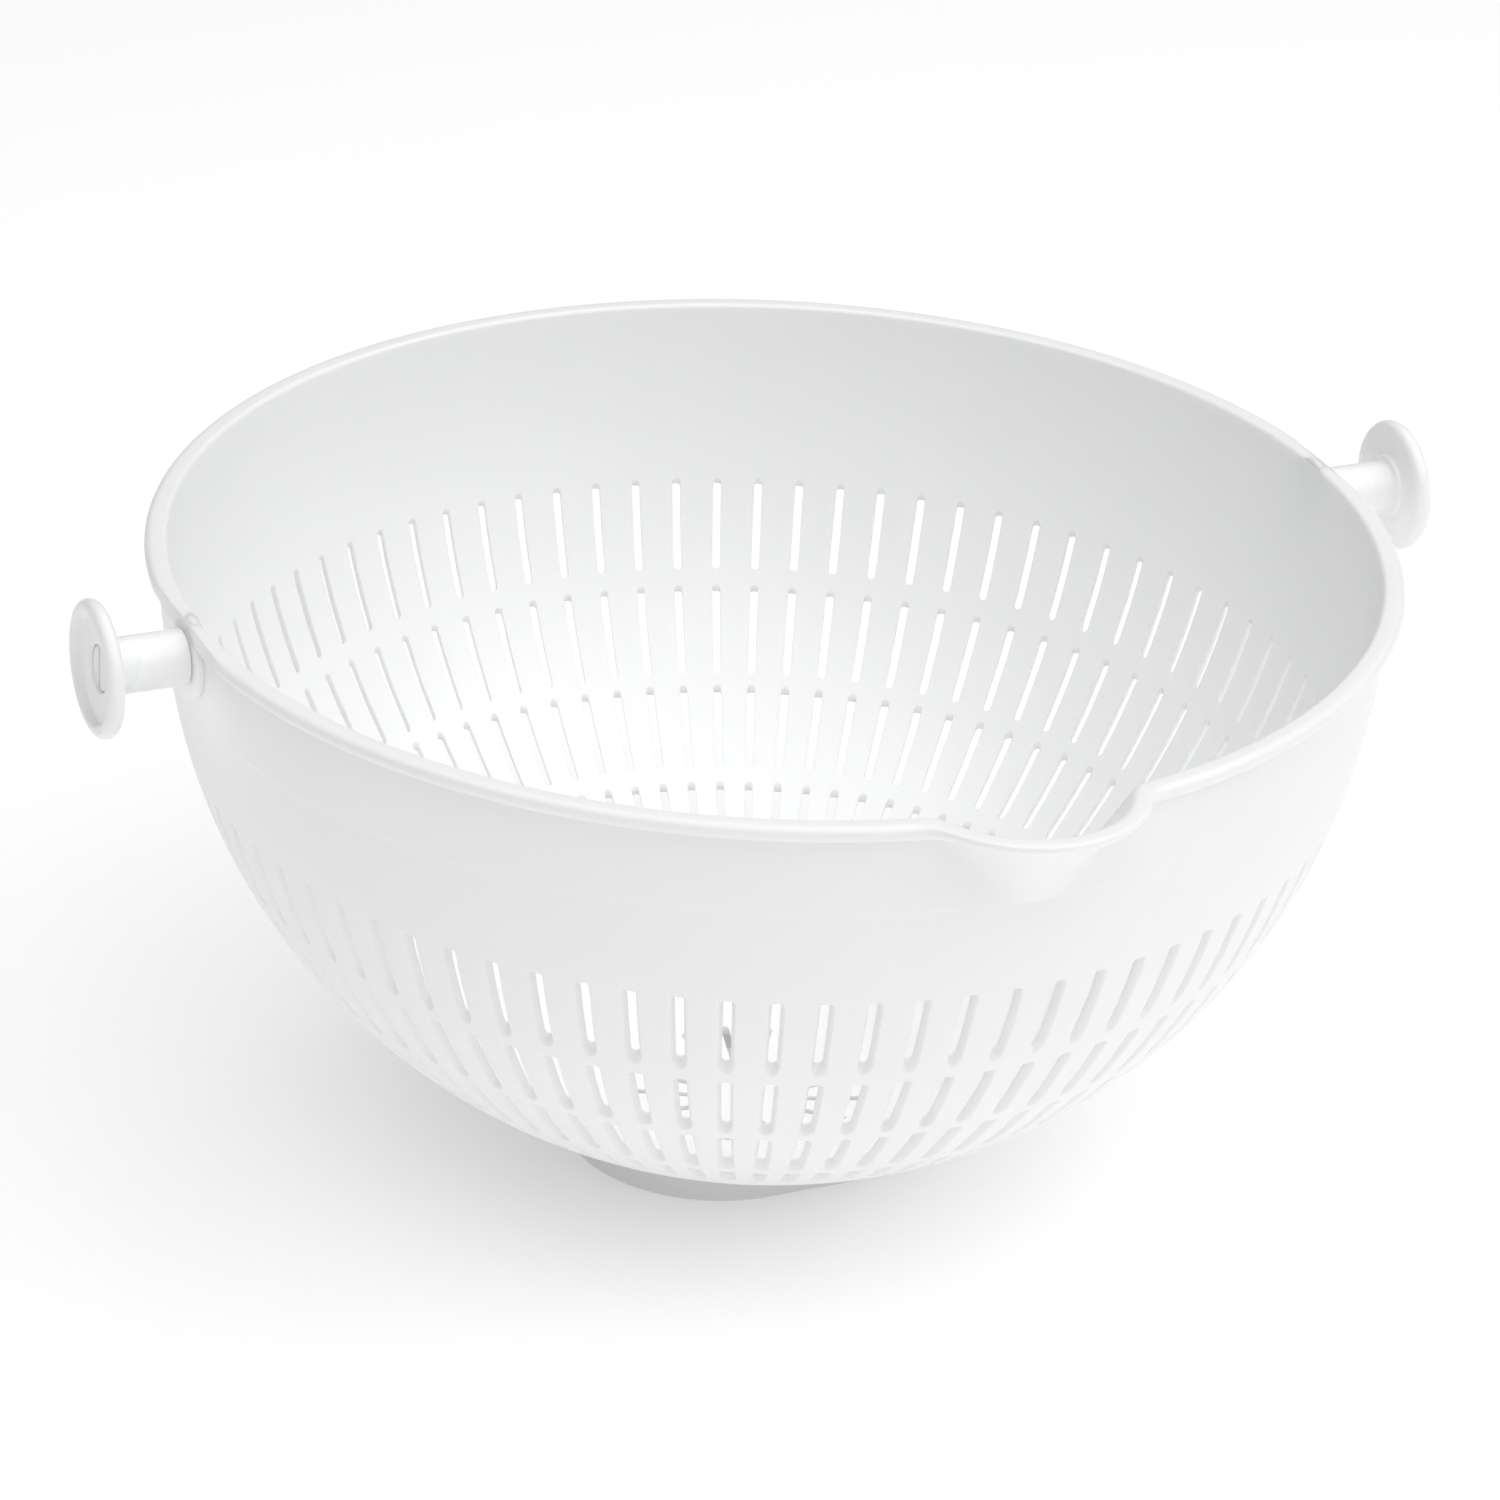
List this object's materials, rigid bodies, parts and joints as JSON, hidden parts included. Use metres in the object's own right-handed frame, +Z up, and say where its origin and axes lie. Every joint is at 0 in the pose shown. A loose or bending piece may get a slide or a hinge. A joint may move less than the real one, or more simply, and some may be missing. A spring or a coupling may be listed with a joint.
{
  "type": "salad spinner basket",
  "caption": "Round slotted strainer bowl with a rolled rim, a pouring lip and a small oval foot, and a flanged turning knob on each side to hang and spin it by.",
  "frame": {"origin": "centre of the foot, on the plane it stands on", "axes": "+Z up, X along the two knobs' common axis (left knob towards -X), pouring lip towards -Y"},
  "size_m": [0.2962, 0.2739, 0.1452],
  "materials": {
    "basket_plastic": "satin",
    "knob_plastic": "satin"
  },
  "bodies": {
    "basket": {"basket": "basket_plastic"},
    "left_knob": {"left_knob": "knob_plastic"},
    "right_knob": {"right_knob": "knob_plastic"}
  },
  "joints": [
    {"name": "left_knob_turn", "type": "hinge", "parent": "basket", "child": "left_knob", "pos_m": [-0.136, 0, 0.1311], "axis": [1, 0, 0], "continuous": true},
    {"name": "right_knob_turn", "type": "hinge", "parent": "basket", "child": "right_knob", "pos_m": [0.136, 0, 0.1311], "axis": [1, 0, 0], "continuous": true}
  ]
}
